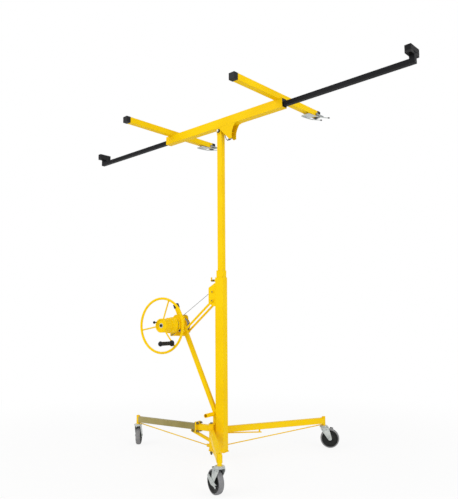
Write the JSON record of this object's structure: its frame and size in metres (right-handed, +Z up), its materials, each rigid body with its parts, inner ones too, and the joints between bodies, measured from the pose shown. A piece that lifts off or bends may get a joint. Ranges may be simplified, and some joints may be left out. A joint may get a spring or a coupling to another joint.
{
  "type": "drywall panel hoist",
  "caption": "Telescoping tripod hoist on casters that lifts ceiling boards on a tilting cradle, raised by a hand-wheel winch and wire rope",
  "frame": {"origin": "on the floor under the mast's axis", "axes": "+X along the cradle's beam towards the picture's right, nearly, with the winch and fixed leg on -X; handwheel faces -Y; +Z up"},
  "size_m": [2.8116, 1.3838, 2.3163],
  "materials": {
    "yellow_paint": "gloss",
    "grey_paint": "satin",
    "black_paint": "satin",
    "zinc": "satin",
    "wire_rope": "satin",
    "black_plastic": "matte",
    "nylon": "matte",
    "grey_tyre": "matte"
  },
  "bodies": {
    "base": {"outer_mast": "yellow_paint", "tripod_hub": "yellow_paint", "rear_leg": "grey_paint", "rear_tie_rod": "zinc", "rear_brace": "yellow_paint", "base_bolts": "zinc", "winch_post": "yellow_paint", "post_cap": "black_plastic", "brace_bars": "yellow_paint", "mast_bracket": "yellow_paint", "frame_bolts": "zinc", "winch_frame": "yellow_paint", "cable_lead": "wire_rope"},
    "front_leg": {"front_leg": "yellow_paint", "front_tie_rod": "zinc"},
    "right_leg": {"right_leg": "yellow_paint", "right_tie_rod": "zinc"},
    "pedal": {"brake_pedal": "zinc"},
    "winch": {"winch_shaft": "zinc", "rope_drum": "yellow_paint", "drum_wraps": "wire_rope", "ratchet_wheel": "zinc", "brake_cover": "yellow_paint", "wheel_hub": "yellow_paint", "handwheel": "yellow_paint", "brake_knob": "black_plastic"},
    "pawl": {"brake_pawl": "zinc"},
    "grip": {"crank_grip": "black_plastic"},
    "mast_sheave": {"mast_sheave": "nylon"},
    "latch": {"mast_latch": "zinc"},
    "mid": {"mid_mast": "yellow_paint", "mid_guide_shoe": "nylon", "cable_loop": "wire_rope", "cable_fall": "wire_rope"},
    "low_sheave": {"low_sheave": "nylon"},
    "top_sheave": {"top_sheave": "nylon"},
    "inner": {"inner_mast": "yellow_paint", "inner_guide_shoe": "nylon", "cable_end": "wire_rope"},
    "head": {"tilt_block": "yellow_paint"},
    "saddle": {"saddle": "yellow_paint", "tilt_bolt": "zinc"},
    "lock": {"tilt_lock": "zinc"},
    "cradle": {"cradle_beam": "yellow_paint", "beam_bushes": "nylon", "cross_arms": "yellow_paint", "arm_caps": "black_plastic"},
    "left_arm": {"left_end_arm": "black_paint"},
    "right_arm": {"right_end_arm": "black_paint"},
    "left_hook": {"left_hook": "zinc"},
    "right_hook": {"right_hook": "zinc"},
    "front_fork": {"front_caster_fork": "zinc"},
    "front_wheel": {"front_caster_wheel": "black_plastic", "front_caster_tyre": "grey_tyre"},
    "right_fork": {"right_caster_fork": "zinc"},
    "right_wheel": {"right_caster_wheel": "black_plastic", "right_caster_tyre": "grey_tyre"},
    "rear_fork": {"rear_caster_fork": "zinc"},
    "rear_wheel": {"rear_caster_wheel": "black_plastic", "rear_caster_tyre": "grey_tyre"}
  },
  "joints": [
    {"name": "front_leg_fold", "type": "hinge", "parent": "base", "child": "front_leg", "pos_m": [-0.058, -0.043, 0.15], "axis": [0, 0, 1], "range_deg": [-85, 0]},
    {"name": "right_leg_fold", "type": "hinge", "parent": "base", "child": "right_leg", "pos_m": [-0.058, 0.043, 0.15], "axis": [0, 0, 1], "range_deg": [0, 85]},
    {"name": "front_swivel", "type": "hinge", "parent": "front_leg", "child": "front_fork", "pos_m": [0.423, -0.645, 0.152], "axis": [0, 0, 1], "continuous": true},
    {"name": "front_roll", "type": "hinge", "parent": "front_fork", "child": "front_wheel", "pos_m": [0.38646, -0.62873, 0.065], "axis": [-0.4067, -0.9135, 0], "continuous": true},
    {"name": "pedal_press", "type": "hinge", "parent": "front_fork", "child": "pedal", "pos_m": [0.38646, -0.62873, 0.065], "axis": [-0.4067, -0.9135, 0], "range_deg": [-12, 0]},
    {"name": "right_swivel", "type": "hinge", "parent": "right_leg", "child": "right_fork", "pos_m": [0.423, 0.645, 0.152], "axis": [0, 0, 1], "continuous": true},
    {"name": "right_roll", "type": "hinge", "parent": "right_fork", "child": "right_wheel", "pos_m": [0.45925, 0.6619, 0.065], "axis": [-0.4226, 0.9063, 0], "continuous": true},
    {"name": "rear_swivel", "type": "hinge", "parent": "base", "child": "rear_fork", "pos_m": [-0.738, 0, 0.152], "axis": [0, 0, 1], "continuous": true},
    {"name": "rear_roll", "type": "hinge", "parent": "rear_fork", "child": "rear_wheel", "pos_m": [-0.76037, 0.03316, 0.065], "axis": [-0.829, -0.5592, 0], "continuous": true},
    {"name": "mid_slide", "type": "slide", "parent": "base", "child": "mid", "axis": [0, 0, 1], "range_m": [0, 0.9], "deforming": ["cable_fall"]},
    {"name": "inner_slide", "type": "slide", "parent": "mid", "child": "inner", "axis": [0, 0, 1], "range_m": [-0.85, 0], "deforming": ["cable_end"]},
    {"name": "winch_turn", "type": "hinge", "parent": "base", "child": "winch", "pos_m": [-0.354, 0, 0.857], "axis": [0, 1, 0], "range_deg": [0, 1020], "deforming": ["drum_wraps"]},
    {"name": "grip_spin", "type": "hinge", "parent": "winch", "child": "grip", "pos_m": [-0.25758, -0.1998, 0.74209], "axis": [0, 1, 0], "continuous": true},
    {"name": "pawl_lift", "type": "hinge", "parent": "base", "child": "pawl", "pos_m": [-0.366, -0.0748, 0.793], "axis": [0, 1, 0], "range_deg": [0, 20], "stiffness_Nm_per_rad": 0.06, "springref_deg": -17.19},
    {"name": "mast_sheave_spin", "type": "hinge", "parent": "base", "child": "mast_sheave", "pos_m": [-0.056, 0.013, 1.08], "axis": [0, 1, 0], "range_deg": [0, 1997]},
    {"name": "latch_push", "type": "slide", "parent": "base", "child": "latch", "axis": [1, 0, 0], "range_m": [0, 0.008]},
    {"name": "low_sheave_spin", "type": "hinge", "parent": "mid", "child": "low_sheave", "pos_m": [-0.0274, 0.0035, 0.095], "axis": [0.9164, 0.4003, 0], "continuous": true},
    {"name": "top_sheave_spin", "type": "hinge", "parent": "mid", "child": "top_sheave", "pos_m": [-0.02325, 0.004, 1.115], "axis": [1, 0, 0], "continuous": true},
    {"name": "head_swivel", "type": "hinge", "parent": "inner", "child": "head", "pos_m": [0, 0, 2.166], "axis": [0, 0, 1], "continuous": true},
    {"name": "cradle_tilt", "type": "hinge", "parent": "head", "child": "saddle", "pos_m": [0, 0, 2.192], "axis": [0.1599, 0.9871, 0], "range_deg": [-10, 10]},
    {"name": "side_tilt", "type": "hinge", "parent": "saddle", "child": "cradle", "pos_m": [0.0048, 0.02961, 2.214], "axis": [0.9871, -0.1599, 0], "range_deg": [-65, 0]},
    {"name": "lock_push", "type": "slide", "parent": "saddle", "child": "lock", "axis": [0, 0, 1], "range_m": [0, 0.008]},
    {"name": "left_arm_slide", "type": "slide", "parent": "cradle", "child": "left_arm", "axis": [0.9871, -0.1599, 0], "range_m": [0, 0.3]},
    {"name": "right_arm_slide", "type": "slide", "parent": "cradle", "child": "right_arm", "axis": [0.9871, -0.1599, 0], "range_m": [-0.3, 0]},
    {"name": "left_hook_flip", "type": "hinge", "parent": "cradle", "child": "left_hook", "pos_m": [-0.43831, 0.47114, 2.2863], "axis": [0.9871, -0.1599, 0], "range_deg": [0, 90]},
    {"name": "right_hook_flip", "type": "hinge", "parent": "cradle", "child": "right_hook", "pos_m": [0.56462, 0.3087, 2.2863], "axis": [0.9871, -0.1599, 0], "range_deg": [0, 90]}
  ],
  "couplings": [
    {"joint": "winch_turn", "follows": "inner_slide", "rad_per_m": -20.833},
    {"joint": "mast_sheave_spin", "follows": "inner_slide", "rad_per_m": -40.9}
  ]
}
